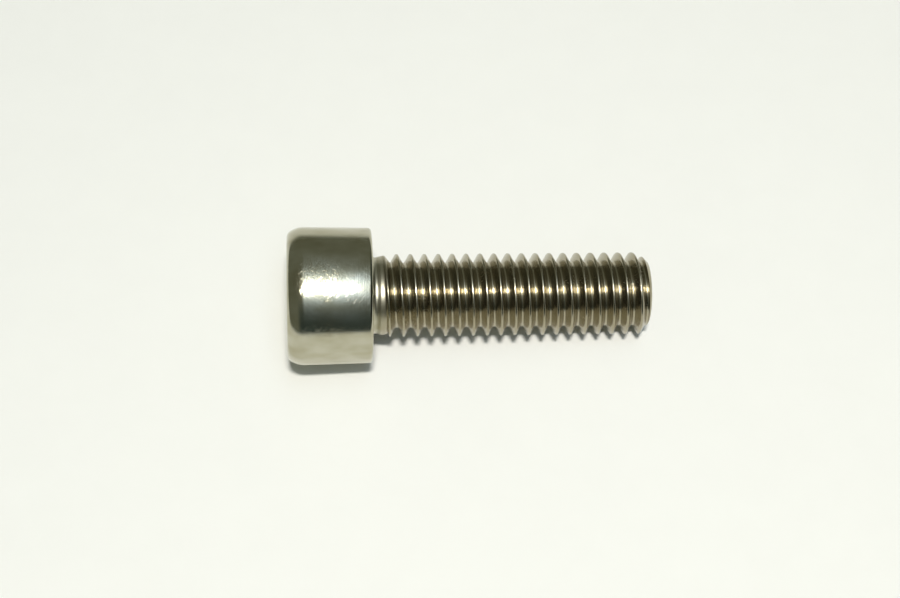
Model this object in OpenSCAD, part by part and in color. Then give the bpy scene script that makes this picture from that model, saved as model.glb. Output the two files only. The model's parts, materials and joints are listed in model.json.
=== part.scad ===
// Hex socket cap screw with a plain round head, threaded almost up to the head.
// It lies on its side as it comes to rest: it touches down at the rim under its head
// and at the end of its thread, so its tip points a few degrees down.
// Lengths along the axis are measured from the bearing face under the head: the head
// is on the minus side, and the shank and its thread are on the plus side.

/* [Head] */
// Largest diameter of the head
head_d = 9.88; // [9.4:0.02:13]
// Height of the head, from its flat top to the bearing face
head_h = 6; // [5.2:0.1:9]
// Draft of the head's side, which narrows it towards the bearing face, in degrees
head_draft = 1.1; // [0:0.1:2]
// Length along the axis of the crowned edge at the top of the head
crown_length = 1; // [0.8:0.05:1.4]
// Drop across the axis of the crowned edge
crown_drop = 0.75; // [0.65:0.05:0.95]
// Radius of the crowned edge where it turns into the flat top
crown_corner = 0.55; // [0.2:0.05:0.7]
// Radius of the small rounding on the rim under the head
rim_round = 0.25; // [0.1:0.05:0.5]

/* [Socket] */
// Width of the hexagon across its flats
socket_width = 5; // [4:0.05:5.6]
// Depth of the hexagon's flat sides, below the top of the head
socket_depth = 3.2; // [2:0.1:3.6]
// Angle of the cone at the bottom of the socket, in degrees
socket_cone = 120; // [100:5:160]
// Width that the lead-in round the socket's mouth has beyond the hexagon's corners
mouth_lead = 0.15; // [0.05:0.05:0.3]

/* [Shank] */
// Length of the screw under its head
screw_length = 19.9; // [10:0.1:40]
// Diameter of the plain neck between head and thread
neck_d = 5.46; // [5:0.02:5.8]
// Length of the plain neck, fillet included
neck_length = 0.35; // [0.3:0.05:3]
// Radius of the fillet under the head
neck_fillet = 0.25; // [0.1:0.05:0.3]

/* [Thread] */
// Outer diameter of the thread
thread_d = 5.9; // [5.6:0.01:6]
// Pitch of the thread, which is also its lead
pitch = 1; // [0.75:0.05:1]
// Angle between the two flanks, in degrees
flank_angle = 60; // [55:1:60]
// Width of the flat on each crest
crest_flat = 0.12; // [0.05:0.01:0.2]
// Radius of the rounded root
root_round = 0.14; // [0.08:0.01:0.16]
// Length over which the thread grows out of the neck to its full height
run_out = 0.9; // [0.6:0.1:2]
// Place along the axis of the crest on the meridian that faces up
first_crest = 0.905; // [0:0.005:1]
// Diameter of the flat end of the screw
end_d = 4.6; // [4:0.05:4.8]
// Angle of the chamfer at the end, between its side and the axis, in degrees
end_chamfer = 45; // [35:5:50]

/* [Hidden] */
$fn = 96;

// The thread's surface has this many meridians a turn, and steps round each root
thread_sides = 36;
root_steps = 2;
// The thread's first ring lies this much inside the neck's surface
neck_step = 0.01;
// A cutter reaches this far past what it cuts
past = 1;

head_r = head_d / 2;
neck_r = neck_d / 2;
thread_r = thread_d / 2;
end_r = end_d / 2;
half_flank = flank_angle / 2;

// The crowned edge is two arcs that meet smoothly: a wide one from the side of the head,
// and a tight one, crown_corner, into the flat top. crown_turn is where they meet.
crown_turn = 2 * atan((crown_drop - crown_corner) / (crown_length - crown_corner));
crown_arc = crown_corner + (crown_length - crown_corner) / sin(crown_turn);
crown_middle = [head_r - crown_arc, head_h - crown_length];
corner_middle = [head_r - crown_drop, head_h - crown_corner];

// The drafted side runs from the head's largest diameter to the rounding of the rim
side_normal = [cos(head_draft), -sin(head_draft)];
side_top = [head_r, head_h - crown_length];
side_length = (side_top.y - rim_round + rim_round * sin(head_draft)) / cos(head_draft);
rim_middle = [side_top.x - side_length * sin(head_draft) - rim_round * cos(head_draft), rim_round];

// The socket's hexagon across its corners, and the circle of its mouth
socket_corners = socket_width / cos(30);
mouth_r = socket_corners / 2 + mouth_lead;
cone_r = socket_width / 2;
cone_depth = cone_r / tan(socket_cone / 2);

// Radii where a flank meets the rounded root, and at the bottom of the root
flank_foot_r = thread_r
    - (pitch / 2 - root_round * cos(half_flank) - crest_flat / 2) / tan(half_flank);
root_r = flank_foot_r - root_round * (1 - sin(half_flank));

// One thread's outline from a crest to the root after it, as [place along the axis, radius]
outline = concat(
    [[-crest_flat / 2, thread_r], [crest_flat / 2, thread_r]],
    [for (i = [0:root_steps])
        let (turn = (90 - half_flank) * (2 * i / root_steps - 1))
        [pitch / 2 + root_round * sin(turn), root_r + root_round * (1 - cos(turn))]]);
per_thread = len(outline);
threads = ceil(screw_length / pitch) + 5;
rows = threads * per_thread;
thread_start = first_crest - 2 * pitch;
// The thread is drawn this far, and the chamfer's envelope then cuts it to length
thread_end = screw_length + pitch;

function grown(along) = min(max((along - neck_length) / run_out, 0), 1);

// Place along the axis of point number row, on the meridian that is share of a turn
// round from the one facing up
function place(row, share) =
    thread_start + pitch * (floor(row / per_thread) + share) + outline[row % per_thread][0];

// The same point as [place along the axis, radius], held between the thread's two ends
function thread_point(row, share) =
    let (along = place(row, share), full = outline[row % per_thread][1])
    along >= thread_end ? [thread_end, root_r]
        : [max(along, neck_length), neck_r - neck_step + grown(along) * (full - neck_r + neck_step)];

// The rows of a meridian that are drawn: those between lie between the thread's ends
function rows_below(limit, side) =
    len([for (row = [0:rows - 1]) if (place(row, side / thread_sides) < limit) row]);
first_rows = [for (side = [0:thread_sides - 1]) rows_below(neck_length, side) - 1];
last_rows = [for (side = [0:thread_sides - 1]) rows_below(thread_end, side)];

// The thread's radius is limited by the chamfer at the screw's end
function chamfer_r(along) = end_r + (screw_length - along) * tan(end_chamfer);

// Points of the finished screw on the meridian that faces down, with the ones where
// an edge of the thread runs into the chamfer
down_points = [for (row = [0:rows - 1]) thread_point(row, 0.5)];
function over(p) = p[1] - chamfer_r(p[0]);
touching = [for (i = [1:rows - 1])
    let (a = down_points[i - 1], b = down_points[i])
    if (over(a) <= 0 || over(b) <= 0)
        over(b) <= 0 ? b : a + (b - a) * over(a) / (over(a) - over(b))];

// Tilt at which the screw, resting on the rim of its head, touches down at a point too
function tilt_at(p) =
    let (reach = p[0] + rim_round, drop = rim_middle.x - p[1])
    atan2(drop, reach) + asin(rim_round / norm([reach, drop]));
rest_tilt = min([for (p = touching) if (p[0] > screw_length / 2) tilt_at(p)]);

// Places what is drawn along +Z, head down, as the screw rests: tip towards +X
module laid() {
    rotate([0, 90 + rest_tilt, 0]) rotate([0, 0, 180]) children();
}

// Slice of a circle about middle, from one angle to another
module slice(middle, radius, from, to) {
    intersection() {
        translate(middle) circle(radius);
        polygon([for (reach = [[0, from], [2, from], [2, (from + to) / 2], [2, to]])
            middle + reach[0] * radius * [cos(reach[1]), sin(reach[1])]]);
    }
}

// Half outline of the head, from its axis outwards, with the bearing face at 0
module head_outline() {
    polygon([
        [0, 0], [rim_middle.x, 0], rim_middle, rim_middle + rim_round * side_normal,
        side_top, crown_middle, corner_middle, [corner_middle.x, head_h], [0, head_h]]);
    slice(rim_middle, rim_round, -90, -head_draft);
    slice(crown_middle, crown_arc, 0, crown_turn);
    slice(corner_middle, crown_corner, crown_turn, 90);
}

module socket() {
    translate([0, 0, head_h - socket_depth])
        cylinder(h = socket_depth + past, d = socket_corners, $fn = 6);
    translate([0, 0, head_h - socket_depth - cone_depth])
        cylinder(h = cone_depth, r1 = 0, r2 = cone_r);
    translate([0, 0, head_h - mouth_r])
        cylinder(h = mouth_r + past, r1 = 0, r2 = mouth_r + past);
}

module head() {
    mirror([0, 0, 1]) difference() {
        rotate_extrude() head_outline();
        socket();
    }
}

// Plain neck, with the fillet that carries it into the bearing face
module neck() {
    rotate_extrude() {
        square([neck_r, neck_length]);
        difference() {
            square([neck_r + neck_fillet, neck_fillet]);
            translate([neck_r + neck_fillet, neck_fillet]) circle(neck_fillet);
        }
    }
}

// Right-hand thread: each meridian's points lie a little further along than the last
// meridian's, and after one turn they have moved on by one thread
module thread_body() {
    points = [for (side = [0:thread_sides - 1], row = [0:rows - 1])
        let (p = thread_point(row, side / thread_sides), turn = 360 * side / thread_sides)
        [p[1] * cos(turn), p[1] * sin(turn), p[0]]];
    function at(side, row) =
        let (turned = side == thread_sides)
        let (column = turned ? 0 : side, moved = turned ? row + per_thread : row)
        column * rows + min(max(moved, first_rows[column]), last_rows[column]);
    sides = [for (side = [0:thread_sides - 1], row = [0:rows - 2])
        let (a = at(side, row), b = at(side + 1, row))
        let (c = at(side + 1, row + 1), d = at(side, row + 1))
        each [if (a != d && b != d) [a, d, b], if (b != c && c != d) [b, d, c]]];
    start = [for (side = [0:thread_sides - 1]) at(side, 0)];
    finish = [for (side = [thread_sides - 1:-1:0]) at(side, rows - 1)];
    polyhedron(points, concat(sides, [start, finish]), convexity = 10);
}

// What the chamfer leaves of the thread
module chamfer_envelope() {
    wide = thread_r + past;
    rotate_extrude() polygon([
        [0, 0], [wide, 0], [wide, screw_length - (wide - end_r) / tan(end_chamfer)],
        [end_r, screw_length], [0, screw_length]]);
}

module cap_screw() {
    color("silver") laid() {
        head();
        neck();
        intersection() {
            thread_body();
            chamfer_envelope();
        }
    }
}

cap_screw();
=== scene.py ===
import json
import math
from types import SimpleNamespace

import bmesh
import bpy
from bpy.props import FloatProperty, FloatVectorProperty, IntProperty, PointerProperty
from mathutils import Matrix, Vector


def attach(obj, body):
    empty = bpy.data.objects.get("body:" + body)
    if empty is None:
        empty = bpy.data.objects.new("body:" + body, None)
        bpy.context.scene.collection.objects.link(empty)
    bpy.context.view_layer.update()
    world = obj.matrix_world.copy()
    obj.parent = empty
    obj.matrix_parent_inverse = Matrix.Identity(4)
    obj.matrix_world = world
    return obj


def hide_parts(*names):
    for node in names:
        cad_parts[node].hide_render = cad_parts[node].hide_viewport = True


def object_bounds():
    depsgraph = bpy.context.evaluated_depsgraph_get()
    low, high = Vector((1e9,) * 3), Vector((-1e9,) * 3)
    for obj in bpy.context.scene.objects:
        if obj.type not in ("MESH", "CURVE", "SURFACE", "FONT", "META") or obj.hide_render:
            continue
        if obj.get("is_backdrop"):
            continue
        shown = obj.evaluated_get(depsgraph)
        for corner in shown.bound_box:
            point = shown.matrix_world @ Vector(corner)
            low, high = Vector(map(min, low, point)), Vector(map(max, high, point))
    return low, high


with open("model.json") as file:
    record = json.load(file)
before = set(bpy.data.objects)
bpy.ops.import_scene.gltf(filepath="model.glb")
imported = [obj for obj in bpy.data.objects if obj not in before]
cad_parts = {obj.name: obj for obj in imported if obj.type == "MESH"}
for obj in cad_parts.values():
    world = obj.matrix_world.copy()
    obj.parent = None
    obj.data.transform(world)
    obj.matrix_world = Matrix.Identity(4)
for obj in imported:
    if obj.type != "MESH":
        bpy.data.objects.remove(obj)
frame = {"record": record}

bl_info = {
    "name": "Hex Socket Cap Screw",
    "version": (1, 0, 0),
    "blender": (4, 5, 0),
    "location": "View3D > Sidebar > Cap Screw",
    "description": "A metric stainless cap screw lying on pale paper, with its steel finish",
    "category": "Object",
}

MM = 0.001
CAD_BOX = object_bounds()
MOUNTS = {mount["name"]: mount for mount in frame["record"]["mounts"]}
NODE = "cap_screw"
BODY = "root"

# The screw's own frame: its origin is on the bearing face, and its axis runs to the tip.
# Angles round it start at the meridian that faces up, and turn towards the camera.
ALONG = Vector(MOUNTS["bearing_face"]["axis"]).normalized()
NEAR = Vector((0, -1, 0))
UP = NEAR.cross(ALONG)
TILT = math.asin(-ALONG.z)

# Vertices closer than this, in millimetres, are one vertex
TOUCH = 0.0005
# Edges that turn more than this show as edges
SHARP = math.radians(32)
# In millimetres: the length over which the neck swells to its collar, and how softly the
# thread meets that collar
COLLAR_RISE = 0.25
COLLAR_MEETING = 0.04
# How steeply the collar falls away into the last groove
COLLAR_FALL = 1.3
# Radius in metres at which the surface, rolled out flat, is as wide as it is
TRUE_RADIUS = 5 * MM
# Roughness that the drawn lines add, and the patches in the steel's film
SLIGHT = 0.03
# Brightness of the paper's darkest clouds, as a share of its own
CLOUD = 0.985
# Half the width of the screen's soft borders, as a sine
SCREEN_BORDER = 0.06


def linear(colour):
    """An sRGB colour, written as "#RRGGBB", as the linear colour that shaders take."""
    shares = [int(colour[i:i + 2], 16) / 255 for i in (1, 3, 5)]
    bent = [c / 12.92 if c <= 0.04045 else ((c + 0.055) / 1.055) ** 2.4 for c in shares]
    return (*bent, 1.0)


def length(name, description, default_mm, **more):
    """A length property, whose default is written in millimetres."""
    return FloatProperty(name=name, description=description, default=default_mm * MM,
                         unit="LENGTH", precision=5, **more)


def angle(name, description, default_degrees):
    """An angle property, whose default is written in degrees."""
    return FloatProperty(name=name, description=description,
                         default=math.radians(default_degrees), unit="ROTATION")


def colour(name, description, default_hex):
    """A colour property, whose default is written as sRGB hex."""
    return FloatVectorProperty(name=name, description=description, size=4, min=0, max=1,
                               default=linear(default_hex), subtype="COLOR")


def share(name, description, default):
    """A property that is a plain number from 0 up."""
    return FloatProperty(name=name, description=description, default=default, min=0)


class ScrewSizes(bpy.types.PropertyGroup):
    """Sizes of the screw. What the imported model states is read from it. The crown's length, the
    collar and the first crest were measured after it was packed, and move its surface by up to
    0.1 mm."""

    head_d: length("Head diameter", "Largest diameter of the head",
                   (CAD_BOX[1].y - CAD_BOX[0].y) / MM)
    head_h: length("Head height", "From the flat top to the bearing face",
                   Vector(MOUNTS["head_top"]["pos_m"]).length / MM)
    head_draft: angle("Head draft", "Narrowing of the side towards the bearing face", 1.1)
    crown_length: length("Crown length", "Length along the axis of the crowned edge", 1.2)
    crown_drop: length("Crown drop", "Drop across the axis of the crowned edge", 0.75)
    crown_corner: length("Crown corner", "Radius where the crown turns into the flat top", 0.55)
    rim_round: length("Rim rounding", "Radius of the rim under the head", 0.25)
    socket_width: length("Socket width", "Width of the hexagon across its flats",
                         2 * MOUNTS["hex_socket"]["dims"]["r_mm"])
    socket_depth: length("Socket depth", "Depth of the hexagon's flat sides",
                         MOUNTS["hex_socket"]["dims"]["length_mm"])
    socket_cone: angle("Socket cone", "Angle of the cone at the bottom", 120)
    mouth_lead: length("Mouth lead-in", "Width of the lead-in beyond the hexagon's corners", 0.15)
    socket_edge: length("Socket edge", "Width of the worn edges round the socket", 0.05)
    shank: length("Shank length", "Length under the head",
                   Vector(MOUNTS["thread"]["pos_m"]).length / MM)
    neck_d: length("Neck diameter", "Diameter of the plain neck", 5.46)
    neck_length: length("Neck length", "Length of the plain neck, fillet included", 0.35)
    neck_fillet: length("Neck fillet", "Radius of the fillet under the head", 0.25)
    thread_d: length("Thread diameter", "Outer diameter of the thread",
                     2 * MOUNTS["thread"]["dims"]["r_mm"])
    pitch: length("Pitch", "Pitch of the thread, which is also its lead", 1)
    flank_angle: angle("Flank angle", "Angle between the two flanks", 60)
    crest_flat: length("Crest flat", "Width of the flat on each crest, before its rounding", 0.12)
    crest_round: length("Crest rounding", "Radius of the crest's two edges", 0.06)
    root_round: length("Root rounding", "Radius of the rounded root", 0.14)
    run_out: length("Run-out", "Length over which the thread grows out of the neck", 0.9)
    collar_d: length("Collar diameter", "Of the plain neck where the last groove ends", 5.62)
    collar_end: length("Collar end", "Length of the neck up to where that groove ends", 0.98)
    first_crest: length("First crest", "Place of the crest on the meridian that faces up", 0.985)
    end_d: length("End diameter", "Diameter of the flat end", 4.6)
    end_chamfer: angle("End chamfer", "Angle between the chamfer's side and the axis", 45)
    end_edge: length("End edge", "Width of the worn edge round the flat end", 0.05)
    sides: IntProperty(name="Sides", description="Meridians in a full turn, a multiple of six",
                       default=120, min=24)


class SteelFinish(bpy.types.PropertyGroup):
    """Colours of the steel and how its surface was left."""

    steel: colour("Steel", "Colour of the clean metal", "#BDBAA8")
    dull_steel: colour("Dull steel", "Colour where the film on the metal is thicker", "#A9A48C")
    film: colour("Thread film", "Colour of the rolled thread's darker film", "#9A907A")
    film_share: share("Film share", "How much of that film the thread has", 0.6)
    roughness: share("Roughness", "Roughness of the formed surface", 0.14)
    rolled_roughness: share("Rolled roughness", "Roughness that the thread's rolling adds", 0.07)
    neck_roughness: share("Neck roughness", "Roughness that the unrolled neck has more", 0.2)
    scratch_roughness: share("Scratch roughness", "Roughness that a scratch adds", 0.15)
    scuff_place: FloatVectorProperty(
        name="Scuff place", description="Middle of the scuffed patch: along, across and up",
        size=3, default=(-3.7 * MM, -0.9 * MM, 4.85 * MM), subtype="TRANSLATION", precision=5)
    scuff_size: length("Scuff size", "Distance from its middle at which the scuff ends", 2.3)


class StageSettings(bpy.types.PropertyGroup):
    """The paper, the light and the camera."""

    paper: colour("Paper", "Colour of the paper", "#F5F6F1")
    paper_size: length("Paper size", "Side of the square of paper", 3000)
    lamp_distance: length("Lamp distance", "From the screw's bearing face to the lamp", 280)
    lamp_width: length("Lamp width", "Size of the lamp along the screw", 36)
    lamp_depth: length("Lamp depth", "Size of the lamp across the screw", 15)
    lamp_elevation: angle("Lamp elevation", "Height of the lamp over the paper", 76)
    lamp_lean: angle("Lamp lean", "Lean of the lamp towards the tip's end", 3.8)
    lamp_level: share("Lamp level", "Share of full light on the paper that the lamp gives", 0.78)
    lamp_colour: colour("Lamp colour", "Colour of the lamp's light", "#FFFAF3")
    glow: colour("Glow", "Colour of the soft screen round the lamp", "#D8EAFF")
    glow_elevation: angle("Glow elevation", "Height of the screen's middle over the paper", 79.5)
    glow_left: angle("Glow left", "Where the screen ends towards the head", 1)
    glow_right: angle("Glow right", "Where the screen ends towards the tip", 18)
    glow_level: share("Glow level", "Brightness at the middle of the screen", 3.5)
    glow_fall: share("Glow fall", "How steeply that falls off, as a power of the cosine", 21)
    haze_level: share("Haze level", "Brightness of the haze above and below the screen", 0.66)
    haze_fall: share("Haze fall", "How steeply the haze falls off, as a power of the cosine", 4)
    haze_left: angle("Haze left", "Where the haze ends towards the head", 4)
    haze_right: angle("Haze right", "Where the haze ends towards the tip", 13)
    near_room: colour("Near side of the room", "Its colour behind the camera", "#3A4441")
    far_room: colour("Far side of the room", "Its colour beyond the screw and its head", "#727567")
    tip_side_dimming: share("Tip side dimming", "How much dimmer the near side is past it", 0.8)
    view_azimuth: angle("View azimuth", "Turn of the camera round the screw", 1.04)
    view_elevation: angle("View elevation", "Height of the camera over the paper", 64)
    view_roll: angle("View roll", "Turn of the camera about its own line of sight", -4)
    view_distance: length("View distance", "From the camera to the point it looks at", 133.82)
    view_x: length("View point along", "Place along the screw that the camera looks at", 5.57)
    view_y: length("View point beyond", "Place across the screw that it looks at", 1.73)
    focal_length: FloatProperty(name="Focal length", description="Of the camera, in millimetres",
                                default=72, unit="CAMERA")


def in_millimetres(group):
    """The values of a property group, with its lengths in millimetres."""
    values = {}
    for name in group.__annotations__:
        is_length = group.bl_rna.properties[name].unit == "LENGTH"
        values[name] = getattr(group, name) / MM if is_length else getattr(group, name)
    return SimpleNamespace(**values)


def arc(middle, radius, start, stop, steps):
    """Points of an arc as (across the axis, along it), with its angles in degrees."""
    turns = [math.radians(start + (stop - start) * i / steps) for i in range(steps + 1)]
    return [(middle[0] + radius * math.cos(t), middle[1] + radius * math.sin(t)) for t in turns]


def hexagon_corner(s):
    """Distance of the socket's corners from its axis."""
    return s.socket_width / 2 / math.cos(math.pi / 6)


def head_outline(s):
    """Half outline of head and neck, from the bottom of the socket over the top to the neck.
    The head lies on the minus side of the bearing face."""
    head_r = s.head_d / 2
    neck_r = s.neck_d / 2
    corner = hexagon_corner(s)
    mouth_r = corner + s.mouth_lead
    socket_end = s.socket_depth - s.head_h
    cone_depth = s.socket_width / 2 / math.tan(s.socket_cone / 2)
    flat_crown = s.crown_length - s.crown_corner
    crown_turn = 2 * math.atan((s.crown_drop - s.crown_corner) / flat_crown)
    crown_arc = s.crown_corner + flat_crown / math.sin(crown_turn)
    turn = math.degrees(crown_turn)
    draft = math.degrees(s.head_draft)
    straight = s.head_h - s.crown_length - s.rim_round * (1 - math.sin(s.head_draft))
    side = straight / math.cos(s.head_draft)
    rim_r = head_r - side * math.sin(s.head_draft) - s.rim_round * math.cos(s.head_draft)
    socket = [(0, socket_end + cone_depth), (s.socket_width / 2, socket_end), (corner, socket_end),
              (corner, s.mouth_lead - s.head_h), (mouth_r, -s.head_h)]
    crown = arc((head_r - s.crown_drop, s.crown_corner - s.head_h), s.crown_corner, -90, -turn, 6)
    crown += arc((head_r - crown_arc, s.crown_length - s.head_h), crown_arc, -turn, 0, 10)[1:]
    rim = arc((rim_r, -s.rim_round), s.rim_round, draft, 90, 5)
    fillet = arc((neck_r + s.neck_fillet, s.neck_fillet), s.neck_fillet, -90, -180, 6)
    return socket + crown + rim + fillet + [(neck_r, s.neck_length)]


def thread_outline(s):
    """One thread's outline, from the middle of a crest to the middle of the next."""
    half_flank = s.flank_angle / 2
    thread_r = s.thread_d / 2
    root_step = s.root_round * math.cos(half_flank)
    foot_r = thread_r - (s.pitch / 2 - root_step - s.crest_flat / 2) / math.tan(half_flank)
    root_r = foot_r - s.root_round * (1 - math.sin(half_flank))
    # The rounding of the crest's edge touches the flat and the flank
    crest_end = s.crest_flat / 2 - s.crest_round * math.tan((math.pi / 2 - half_flank) / 2)
    flank = math.degrees(half_flank)
    crest = arc((thread_r - s.crest_round, crest_end), s.crest_round, 0, 90 - flank, 3)
    root = arc((root_r + s.root_round, s.pitch / 2), s.root_round, 270 - flank, 180, 4)
    top, foot = Vector(crest[-1]), Vector(root[0])
    between = [tuple(top.lerp(foot, step)) for step in (1 / 3, 2 / 3)]
    down = [(thread_r, 0)] + crest + between + root
    up = [(across, s.pitch - along) for across, along in reversed(down[:-1])]
    return down + up


def wire(bm, outline, start=0.0):
    """A chain of edges along an outline, on the meridian that faces up."""
    verts = [bm.verts.new((across, 0, along + start)) for across, along in outline]
    return verts + [bm.edges.new(pair) for pair in zip(verts, verts[1:])]


def across(vert):
    """Distance of a vertex from the screw's axis."""
    return math.hypot(vert.co.x, vert.co.y)


def move(vert, radius, along):
    """Moves a vertex within its own meridian."""
    turn = math.atan2(vert.co.y, vert.co.x)
    vert.co = (radius * math.cos(turn), radius * math.sin(turn), along)


def turn_head(bm, s):
    """Head, socket and neck as one turned form, whose socket is then pressed to a hexagon."""
    corner = hexagon_corner(s)
    bmesh.ops.spin(bm, geom=wire(bm, head_outline(s)), axis=(0, 0, 1), angle=2 * math.pi,
                   steps=s.sides, use_merge=True)
    pressed = [v for v in bm.verts if abs(across(v) - corner) < TOUCH and v.co.z < -s.neck_length]
    for vert in pressed:
        sixth = math.atan2(vert.co.y, vert.co.x) % (math.pi / 3) - math.pi / 6
        radius = s.socket_width / 2 / math.cos(sixth)
        at_mouth = vert.co.z < s.socket_depth / 2 - s.head_h
        lead_in = corner + s.mouth_lead - radius
        move(vert, radius, lead_in - s.head_h if at_mouth else vert.co.z)
    bmesh.ops.remove_doubles(bm, verts=bm.verts, dist=TOUCH)


def collar(s, along):
    """Radius that the neck has at least, up to where the last groove runs out into it."""
    rise = min((along - s.neck_length) / COLLAR_RISE, 1)
    fall = COLLAR_FALL * max(along - s.collar_end, 0)
    return s.neck_d / 2 + rise * (s.collar_d - s.neck_d) / 2 - fall


def roll_thread(bm, s):
    """The thread as its outline turned once along a helix, so that each thread runs on into
    the next, and grown out of the neck."""
    start = s.first_crest - 2 * s.pitch
    threads = math.ceil((s.shank - start) / s.pitch) + 1
    one = thread_outline(s)
    outline = [(out, along + s.pitch * n) for n in range(threads) for out, along in one[:-1]]
    before = set(bm.verts)
    bmesh.ops.spin(bm, geom=wire(bm, outline, start), axis=(0, 0, 1),
                   dvec=(0, 0, s.pitch / s.sides), angle=2 * math.pi, steps=s.sides)
    bmesh.ops.remove_doubles(bm, verts=[v for v in bm.verts if v not in before], dist=TOUCH)
    verts = [v for v in bm.verts if v not in before]
    neck_r = s.neck_d / 2
    for vert in verts:
        along = max(vert.co.z, s.neck_length)
        grown = min((along - s.neck_length) / s.run_out, 1)
        radius = neck_r + grown * (across(vert) - neck_r)
        least = collar(s, along) if along > s.neck_length else radius
        meeting = COLLAR_MEETING * grown
        radius = (radius + least + math.hypot(radius - least, meeting)) / 2
        move(vert, radius, along)
    return verts


def cut_chamfer(bm, s, verts):
    """Brings what stands over the end's cone down to it. Where a meridian crosses the cone it
    gets a vertex, and faces are split between such vertices, so the edge runs clean."""
    end_r = s.end_d / 2

    def cone(along):
        """Radius of the end's cone."""
        return end_r + (s.shank - along) * math.tan(s.end_chamfer)

    def over(vert):
        """How far a vertex stands over the cone."""
        return across(vert) - cone(vert.co.z)

    meridians = {}
    for vert in verts:
        if cone(vert.co.z + s.pitch) < s.thread_d / 2:
            turn = round(math.atan2(vert.co.y, vert.co.x) / (2 * math.pi) * s.sides) % s.sides
            meridians.setdefault(turn, []).append(vert)
    crossings = {}
    for meridian in meridians.values():
        meridian.sort(key=lambda v: v.co.z)
        for low, high in zip(meridian, meridian[1:]):
            a, b = over(low), over(high)
            if (a > 0) != (b > 0):
                point = low.co.lerp(high.co, a / (a - b))
                crossings.setdefault(high if b > 0 else low, point)
    for meridian in meridians.values():
        for vert in meridian:
            if vert not in crossings and over(vert) > 0:
                along = min(vert.co.z, s.shank)
                move(vert, cone(along), along)
    for vert, point in crossings.items():
        vert.co = point
    for face in {f for v in crossings for f in v.link_faces if len(f.verts) == 4}:
        a, b, c, d = face.verts
        if a in crossings and c in crossings and b not in crossings:
            bmesh.utils.face_split(face, a, c)
        elif b in crossings and d in crossings and a not in crossings:
            bmesh.utils.face_split(face, b, d)


def soften(bm, edges, width):
    """Rounds off edges that handling has worn."""
    bmesh.ops.bevel(bm, geom=edges, offset=width, segments=2, profile=0.5, affect="EDGES",
                    clamp_overlap=True, material=-1)


def screw_mesh(s):
    """The whole screw as one closed form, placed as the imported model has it."""
    bm = bmesh.new()
    turn_head(bm, s)
    cut_chamfer(bm, s, roll_thread(bm, s))
    bmesh.ops.remove_doubles(bm, verts=bm.verts, dist=TOUCH)
    bmesh.ops.dissolve_degenerate(bm, dist=TOUCH, edges=bm.edges)
    bmesh.ops.holes_fill(bm, edges=[e for e in bm.edges if e.is_boundary])
    bmesh.ops.recalc_face_normals(bm, faces=bm.faces)
    mouth_r = hexagon_corner(s) + s.mouth_lead
    # The socket's edges, without those round its bottom
    socket = [e for e in bm.edges if all(across(v) < mouth_r + TOUCH for v in e.verts)
              and e.verts[0].co.z < s.socket_depth - s.head_h - TOUCH
              and e.calc_face_angle(0) > SHARP]
    soften(bm, socket, s.socket_edge)
    end = [e for e in bm.edges if all(v.co.z > s.shank - TOUCH for v in e.verts)]
    soften(bm, end, s.end_edge)
    for face in bm.faces:
        face.smooth = True
    for edge in bm.edges:
        edge.smooth = edge.calc_face_angle(0) < SHARP
    laid = Matrix((UP, NEAR, ALONG)).transposed().to_4x4()
    bmesh.ops.transform(bm, matrix=laid @ Matrix.Scale(MM, 4), verts=bm.verts)
    mesh = bpy.data.meshes.new("socket_screw")
    bm.to_mesh(mesh)
    bm.free()
    return mesh


def put(tree, kind, inputs=None, **settings):
    """Adds a node with its settings, and sets or links its inputs. What is linked is a socket,
    or a node, of which the first live output is then taken. Inputs whose names repeat go by
    number: on a Mix node 0 is its factor, 4 and 5 its vectors, and 6 and 7 its colours."""
    node = tree.nodes.new("ShaderNode" + kind)
    for name, value in settings.items():
        setattr(node, name, value)
    for name, value in (inputs or {}).items():
        if isinstance(value, bpy.types.Node):
            value = next(socket for socket in value.outputs if socket.enabled)
        if isinstance(value, bpy.types.NodeSocket):
            tree.links.new(value, node.inputs[name])
        else:
            node.inputs[name].default_value = value
    return node


def blank(holder):
    """The emptied node tree of a material or a world."""
    holder.use_nodes = True
    holder.node_tree.nodes.clear()
    return holder.node_tree


def grain(tree, place, sizes_mm, turn=0.0, detail=2.0, low=0.0, high=1.0):
    """Noise whose cells have these sizes in millimetres, turned by an angle in degrees about Z.
    It is stretched so that low and what is under it is 0, and high is 1."""
    turned = put(tree, "Mapping", {"Vector": place, "Rotation": (0, 0, math.radians(turn))})
    scale = [1 / (size * MM) for size in sizes_mm]
    laid = put(tree, "Mapping", {"Vector": turned, "Scale": scale})
    noise = put(tree, "TexNoise", {
        "Vector": laid, "Scale": 1.0, "Detail": detail, "Roughness": 0.55})
    return put(tree, "MapRange", {
        "Value": noise, "From Min": low, "From Max": high, "To Min": 0.0, "To Max": 1.0})


def inside(tree, *borders):
    """1 inside all of these soft borders and 0 outside any of them. A border is a value, with
    where it begins to let through and where it lets all through."""
    mask = 1.0
    for value, start, stop in borders:
        border = put(tree, "MapRange", {"Value": value, "From Min": start, "From Max": stop},
                     interpolation_type="SMOOTHSTEP")
        mask = put(tree, "Math", {0: border, 1: mask}, operation="MULTIPLY")
    return mask


def total(tree, start, *shares):
    """The sum of a number and some patterns, each of them times its own number."""
    for pattern, times in shares:
        start = put(tree, "Math", {0: pattern, 1: times, 2: start}, operation="MULTIPLY_ADD")
    return start


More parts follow.
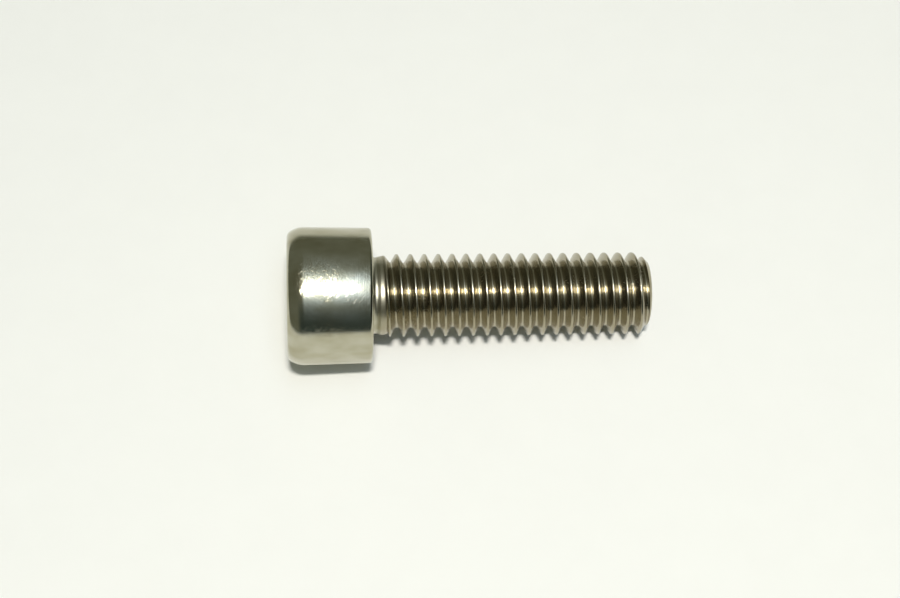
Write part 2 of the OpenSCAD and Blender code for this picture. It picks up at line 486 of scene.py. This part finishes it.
def rolled_out(tree, place, normal):
    """The surface rolled out flat, so that a pattern lies on it and doesn't run through it:
    along the screw and out from its axis, and round it. What faces along the screw is seen
    flat already: the head's top, the bearing face, the thread's steep flanks, the screw's end
    and the socket's bottom."""
    sides = put(tree, "SeparateXYZ", {"Vector": place}).outputs
    out = put(tree, "VectorMath", {0: place, 1: (0, 1, 1)}, operation="MULTIPLY")
    radius = put(tree, "VectorMath", {0: out}, operation="LENGTH")
    turn = put(tree, "Math", {0: sides["Y"], 1: sides["Z"]}, operation="ARCTAN2")
    side = put(tree, "CombineXYZ", {
        "X": put(tree, "Math", {0: sides["X"], 1: radius}, operation="ADD"),
        "Y": put(tree, "Math", {0: turn, 1: TRUE_RADIUS}, operation="MULTIPLY")})
    end = put(tree, "CombineXYZ", {"X": sides["Y"], "Y": sides["Z"]})
    facing = put(tree, "VectorMath", {0: normal, 1: tuple(ALONG)}, operation="DOT_PRODUCT")
    facing = put(tree, "Math", {0: facing}, operation="ABSOLUTE")
    # The flanks and the socket's cone face that way the least, with a share of 0.87
    is_end = put(tree, "Math", {0: facing, 1: 0.8}, operation="GREATER_THAN")
    return put(tree, "Mix", {0: is_end, 4: side, 5: end}, data_type="VECTOR")


def stainless_steel(finish):
    """Stainless steel, cold-headed and thread-rolled. The eye gets a bright metal with drawn
    lines round it, fine scratches from loose handling, and a darker film on the thread."""
    material = bpy.data.materials.new("cold_formed_stainless_steel")
    tree = blank(material)
    surface = put(tree, "TexCoord").outputs
    place = put(tree, "Mapping", {"Vector": surface["Object"], "Rotation": (0, -TILT, 0)})
    along = put(tree, "SeparateXYZ", {"Vector": place}).outputs["X"]
    flat = rolled_out(tree, place, surface["Normal"])

    # Lines that the dies leave round the screw, drawn 0.08 mm apart, as finer ones don't show
    lines = grain(tree, flat, (0.08, 1.5, 1), low=0.3, high=0.7)
    # The tumbled surface's own grain, about twice as coarse as it is, for the same reason
    tumbled = grain(tree, flat, (0.13, 0.1, 1), detail=3.0, low=0.3, high=0.7)
    # Patches in the film, some millimetres wide
    patches = grain(tree, place, (2.5, 1.6, 1.6), low=0.35, high=0.65)
    # Short scratches 0.07 mm wide, in three directions, where the screw was knocked about:
    # faint here and there, and all over a scuffed patch of the head's side, near its crown
    knocked = grain(tree, place, (2.2, 2.2, 2.2), low=0.42, high=0.9)
    off = put(tree, "VectorMath", {0: place, 1: tuple(finish.scuff_place)}, operation="DISTANCE")
    scuff = inside(tree, (off, finish.scuff_size, finish.scuff_size / 2))
    knocked = put(tree, "Math", {0: knocked, 1: scuff}, operation="MAXIMUM")
    scratch = 0.0
    for turn in (35, 80, 140):
        one_way = grain(tree, flat, (0.6, 0.07, 1), turn, 1.0, 0.6, 0.72)
        scratch = put(tree, "Math", {0: one_way, 1: scratch}, operation="MAXIMUM")
    scratch = put(tree, "Math", {0: scratch, 1: knocked}, operation="MULTIPLY")
    # Where the thread's rolling has worked the surface, and the neck that it left as it was
    rolled = inside(tree, (along, 0.1 * MM, 1.2 * MM))
    neck = inside(tree, (along, 0, 0.2 * MM), (along, 1.2 * MM, 0.7 * MM))

    metal = put(tree, "Mix", {
        0: patches, 6: tuple(finish.steel), 7: tuple(finish.dull_steel)}, data_type="RGBA")
    metal = put(tree, "Mix", {
        0: total(tree, 0.0, (rolled, finish.film_share)), 6: metal, 7: tuple(finish.film)},
        data_type="RGBA")
    dull = total(tree, finish.roughness - SLIGHT, (lines, SLIGHT), (patches, SLIGHT),
                 (rolled, finish.rolled_roughness), (neck, finish.neck_roughness),
                 (scratch, finish.scratch_roughness))
    # In steps of 3 micrometres: a line is 0.9 high, the tumbled grain 1.5, a scratch 4.5 deep
    height = total(tree, 0.0, (lines, 0.3), (tumbled, 0.5), (scratch, -1.5))
    bump = put(tree, "Bump", {"Height": height, "Distance": 0.003 * MM, "Strength": 1.0})
    shader = put(tree, "BsdfPrincipled", {
        "Base Color": metal, "Metallic": 1.0, "Roughness": dull, "Normal": bump})
    put(tree, "OutputMaterial", {"Surface": shader})
    return material


def matt_paper(stage):
    """Uncoated paper, calendered. The eye gets a pale matt sheet with a faint cloudiness and a
    fine tooth."""
    material = bpy.data.materials.new("uncoated_paper")
    tree = blank(material)
    spot = put(tree, "TexCoord").outputs["Object"]
    cloud = grain(tree, spot, (3, 3, 3), detail=3.0, low=0.25, high=0.75)
    tooth = grain(tree, spot, (0.25, 0.25, 0.25))
    pale = tuple(stage.paper)
    dim = tuple(CLOUD * value for value in pale[:3]) + (1.0,)
    sheet = put(tree, "Mix", {0: cloud, 6: dim, 7: pale}, data_type="RGBA")
    bump = put(tree, "Bump", {"Height": tooth, "Distance": 0.01 * MM, "Strength": 0.6})
    shader = put(tree, "BsdfPrincipled", {
        "Base Color": sheet, "Roughness": 0.9, "Specular IOR Level": 0.1, "Normal": bump})
    put(tree, "OutputMaterial", {"Surface": shader})
    return material


def link(name, data):
    """An object at the origin that holds this data."""
    thing = bpy.data.objects.new(name, data)
    bpy.context.scene.collection.objects.link(thing)
    return thing


class CAPSCREW_OT_form_screw(bpy.types.Operator):
    """Form the screw and give it its steel"""

    bl_idname = "cap_screw.form_screw"
    bl_label = "Form Screw"
    bl_options = {"REGISTER", "UNDO"}

    def execute(self, context):
        sizes = in_millimetres(context.scene.cap_screw_sizes)
        if sizes.sides % 6:
            raise ValueError("the number of sides is a multiple of six, for the hexagon's corners")
        screw = link("socket_screw", screw_mesh(sizes))
        screw.data.materials.append(stainless_steel(context.scene.cap_screw_finish))
        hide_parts(NODE)
        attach(screw, BODY)
        return {"FINISHED"}


def lay_paper(stage):
    """A wide sheet of paper that the screw lies on."""
    bm = bmesh.new()
    bmesh.ops.create_grid(bm, x_segments=8, y_segments=8, size=stage.paper_size / 2)
    bmesh.ops.translate(bm, vec=(0, 0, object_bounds()[0].z), verts=bm.verts)
    mesh = bpy.data.meshes.new("paper")
    bm.to_mesh(mesh)
    bm.free()
    paper = link("paper", mesh)
    paper.data.materials.append(matt_paper(stage))
    paper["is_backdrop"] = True


def hang_lamp(stage):
    """A small wide lamp, high up on the camera's side."""
    height = Vector((0, -math.cos(stage.lamp_elevation), math.sin(stage.lamp_elevation)))
    way = height * math.cos(stage.lamp_lean) + Vector((math.sin(stage.lamp_lean), 0, 0))
    beyond = way.cross((1, 0, 0)).normalized()
    lamp = bpy.data.lights.new("lamp", "AREA")
    lamp.shape = "ELLIPSE"
    lamp.size = stage.lamp_width
    lamp.size_y = stage.lamp_depth
    lamp.color = stage.lamp_colour[:3]
    # At this energy white paper under the lamp has the lamp level as its brightness
    lamp.energy = stage.lamp_level * (math.pi * stage.lamp_distance) ** 2 / way.z
    holder = link("lamp", lamp)
    turned = Matrix((beyond.cross(way), beyond, way)).transposed().to_4x4()
    holder.matrix_world = Matrix.Translation(way * stage.lamp_distance) @ turned


def dim_room(stage):
    """The room round the paper: dim, darkest behind the camera and past the tip, with a long
    soft screen round the lamp that shines on the metal, and its haze."""
    world = bpy.data.worlds.new("dim_room")
    tree = blank(world)
    look = put(tree, "TexCoord").outputs["Generated"]
    # How far a look goes towards the tip, X, and away from the camera, Y, both as sines
    sides = put(tree, "SeparateXYZ", {"Vector": look}).outputs
    # Past the head the room is as light on the near side too, which the crown shows
    lighter = put(tree, "Math", {
        0: inside(tree, (sides["Y"], -1.0, -0.4), (sides["X"], 0.9, 0.3)),
        1: inside(tree, (sides["X"], -0.15, -0.5))}, operation="MAXIMUM")
    room = put(tree, "Mix", {
        0: lighter, 6: tuple(stage.near_room), 7: tuple(stage.far_room)}, data_type="RGBA")
    # Past the tip the near side is darker still
    aside = inside(tree, (sides["X"], 0.3, 0.6), (sides["Y"], 0.1, -0.3))
    room = put(tree, "Background", {
        "Color": room, "Strength": total(tree, 1.0, (aside, -stage.tip_side_dimming))})

    # How near a look comes to the screen's height, whichever way along the screw it goes
    level = put(tree, "VectorMath", {0: look, 1: (0, 1, 1)}, operation="MULTIPLY")
    level = put(tree, "VectorMath", {0: level}, operation="NORMALIZE")
    middle = (0, -math.cos(stage.glow_elevation), math.sin(stage.glow_elevation))
    height = put(tree, "VectorMath", {0: level, 1: middle}, operation="DOT_PRODUCT")
    height = put(tree, "Math", {0: height, 1: 0.0}, operation="MAXIMUM")
    glow = 0.0
    for brightness, fall, left, right in (
            (stage.glow_level, stage.glow_fall, stage.glow_left, stage.glow_right),
            (stage.haze_level, stage.haze_fall, stage.haze_left, stage.haze_right)):
        left, right = math.sin(left), math.sin(right)
        window = inside(tree, (sides["X"], left - SCREEN_BORDER, left + SCREEN_BORDER),
                        (sides["X"], right + SCREEN_BORDER, right - SCREEN_BORDER))
        lobe = put(tree, "Math", {0: height, 1: fall}, operation="POWER")
        lobe = put(tree, "Math", {0: lobe, 1: window}, operation="MULTIPLY")
        glow = total(tree, glow, (lobe, brightness))
    glow = put(tree, "Background", {"Color": tuple(stage.glow), "Strength": glow})
    both = put(tree, "AddShader", {0: room, 1: glow})
    put(tree, "OutputWorld", {"Surface": both})
    bpy.context.scene.world = world


def aim_camera(stage):
    """The camera, looking down on the screw at the photograph's angle."""
    around, above, roll = stage.view_azimuth, stage.view_elevation, stage.view_roll
    back = Vector((math.sin(around) * math.cos(above), -math.cos(around) * math.cos(above),
                   math.sin(above)))
    level = Vector((math.cos(around), math.sin(around), 0))
    upright = back.cross(level)
    right = level * math.cos(roll) + upright * math.sin(roll)
    top = upright * math.cos(roll) - level * math.sin(roll)
    target = Vector((stage.view_x, stage.view_y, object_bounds()[0].z))
    lens = bpy.data.cameras.new("camera")
    lens.lens = stage.focal_length
    lens.sensor_fit = "HORIZONTAL"
    lens.clip_start = 1 * MM
    camera = link("camera", lens)
    turned = Matrix((right, top, back)).transposed().to_4x4()
    camera.matrix_world = Matrix.Translation(target + back * stage.view_distance) @ turned
    bpy.context.scene.camera = camera


class CAPSCREW_OT_set_stage(bpy.types.Operator):
    """Lay the paper, hang the lamp, dim the room and aim the camera"""

    bl_idname = "cap_screw.set_stage"
    bl_label = "Set Stage"
    bl_options = {"REGISTER", "UNDO"}

    def execute(self, context):
        stage = context.scene.cap_screw_stage
        lay_paper(stage)
        hang_lamp(stage)
        dim_room(stage)
        aim_camera(stage)
        context.scene.view_settings.view_transform = "Standard"
        return {"FINISHED"}


class CAPSCREW_PT_panel(bpy.types.Panel):
    """The screw's sizes and finish, the stage, and what makes them"""

    bl_idname = "CAPSCREW_PT_panel"
    bl_label = "Cap Screw"
    bl_space_type = "VIEW_3D"
    bl_region_type = "UI"
    bl_category = "Cap Screw"

    def draw(self, context):
        scene = context.scene
        self.layout.operator(CAPSCREW_OT_form_screw.bl_idname)
        self.layout.operator(CAPSCREW_OT_set_stage.bl_idname)
        for group in (scene.cap_screw_sizes, scene.cap_screw_finish, scene.cap_screw_stage):
            column = self.layout.column(align=True)
            for name in group.__annotations__:
                column.prop(group, name)


CLASSES = (ScrewSizes, SteelFinish, StageSettings, CAPSCREW_OT_form_screw,
           CAPSCREW_OT_set_stage, CAPSCREW_PT_panel)


def register():
    """Adds the classes, and their settings to the scene."""
    for cls in CLASSES:
        bpy.utils.register_class(cls)
    bpy.types.Scene.cap_screw_sizes = PointerProperty(type=ScrewSizes)
    bpy.types.Scene.cap_screw_finish = PointerProperty(type=SteelFinish)
    bpy.types.Scene.cap_screw_stage = PointerProperty(type=StageSettings)


def unregister():
    """Takes them away again."""
    del bpy.types.Scene.cap_screw_stage
    del bpy.types.Scene.cap_screw_finish
    del bpy.types.Scene.cap_screw_sizes
    for cls in reversed(CLASSES):
        bpy.utils.unregister_class(cls)


def main():
    """Makes the screw and its stage."""
    register()
    bpy.ops.cap_screw.form_screw()
    bpy.ops.cap_screw.set_stage()


if __name__ == "__main__":
    main()
